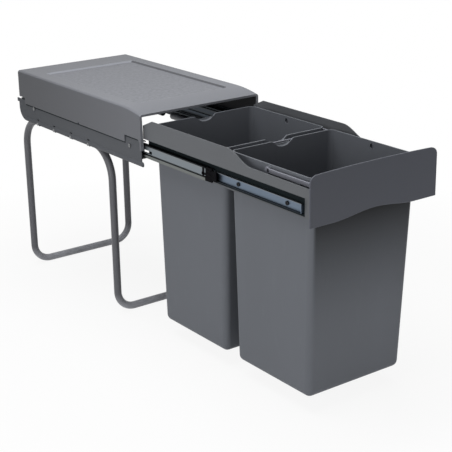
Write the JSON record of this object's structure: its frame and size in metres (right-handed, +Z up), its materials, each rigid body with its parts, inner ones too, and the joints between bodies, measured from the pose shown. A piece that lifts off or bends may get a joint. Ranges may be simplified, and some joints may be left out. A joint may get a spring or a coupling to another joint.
{
  "type": "pull out bin frame",
  "caption": "Pull-out waste bin frame: a shallow cover on bent tube legs, full-extension ball slides and a carrier with a front panel and lift-out bins with bails.",
  "frame": {"origin": "on the cabinet floor, mid-width, straight below the front edge of the cover", "axes": "+X to the right across the width, +Y to the rear of the cabinet, +Z up; the carrier pulls out along -Y"},
  "size_m": [0.2568, 0.9145, 0.4166],
  "materials": {
    "cover_plastic": "fine grained anthracite",
    "rail_paint": "anthracite powder coat",
    "leg_paint": "anthracite powder coat",
    "carrier_paint": "anthracite powder coat",
    "panel_paint": "anthracite powder coat",
    "bin_plastic": "satin moulded anthracite",
    "bail_plastic": "satin moulded grey",
    "slide_zinc": "blue bright zinc plate",
    "cage_steel": "plain rolled strip",
    "ball_steel": "polished",
    "fastener_steel": "zinc plate",
    "black_screw": "black oxide",
    "black_plastic": "moulded black"
  },
  "bodies": {
    "frame": {"top_cover": "cover_plastic", "left_side_rail": "rail_paint", "right_side_rail": "rail_paint", "front_leg": "leg_paint", "rear_leg": "leg_paint", "leg_spacers": "black_plastic", "leg_rivets": "fastener_steel", "rail_screws": "fastener_steel", "left_slide_outer": "slide_zinc", "right_slide_outer": "slide_zinc"},
    "slide_middles": {"left_slide_middle": "slide_zinc", "right_slide_middle": "slide_zinc", "slide_bumpers": "black_plastic"},
    "outer_cages": {"outer_ball_cages": "cage_steel", "outer_balls": "ball_steel"},
    "inner_cages": {"inner_ball_cages": "cage_steel", "inner_balls": "ball_steel"},
    "carrier": {"left_slide_inner": "slide_zinc", "right_slide_inner": "slide_zinc", "inner_screws": "black_screw", "left_carrier_side": "carrier_paint", "right_carrier_side": "carrier_paint", "rear_cross_rail": "carrier_paint", "centre_cross_rail": "carrier_paint", "front_panel": "panel_paint", "panel_screws": "fastener_steel"},
    "rear_bin": {"rear_bin": "bin_plastic"},
    "front_bin": {"front_bin": "bin_plastic"},
    "rear_bail": {"rear_bail": "bail_plastic"},
    "front_bail": {"front_bail": "bail_plastic"}
  },
  "joints": [
    {"name": "pull_out", "type": "slide", "parent": "frame", "child": "carrier", "axis": [0, -1, 0], "range_m": [-0.418, 0]},
    {"name": "middle_slide", "type": "slide", "parent": "frame", "child": "slide_middles", "axis": [0, -1, 0], "range_m": [-0.209, 0]},
    {"name": "outer_cage_slide", "type": "slide", "parent": "frame", "child": "outer_cages", "axis": [0, -1, 0], "range_m": [-0.1045, 0]},
    {"name": "inner_cage_slide", "type": "slide", "parent": "frame", "child": "inner_cages", "axis": [0, -1, 0], "range_m": [-0.3135, 0]},
    {"name": "rear_bin_lift", "type": "slide", "parent": "carrier", "child": "rear_bin", "axis": [0, 0, 1], "range_m": [0, 0.38]},
    {"name": "front_bin_lift", "type": "slide", "parent": "carrier", "child": "front_bin", "axis": [0, 0, 1], "range_m": [0, 0.38]},
    {"name": "rear_bail_turn", "type": "hinge", "parent": "rear_bin", "child": "rear_bail", "pos_m": [0, -0.1115, 0.384], "axis": [-1, 0, 0], "range_deg": [0, 90]},
    {"name": "front_bail_turn", "type": "hinge", "parent": "front_bin", "child": "front_bail", "pos_m": [0, -0.3285, 0.384], "axis": [-1, 0, 0], "range_deg": [0, 90]}
  ],
  "couplings": [
    {"joint": "middle_slide", "follows": "pull_out", "ratio": 0.5},
    {"joint": "outer_cage_slide", "follows": "pull_out", "ratio": 0.25},
    {"joint": "inner_cage_slide", "follows": "pull_out", "ratio": 0.75}
  ]
}
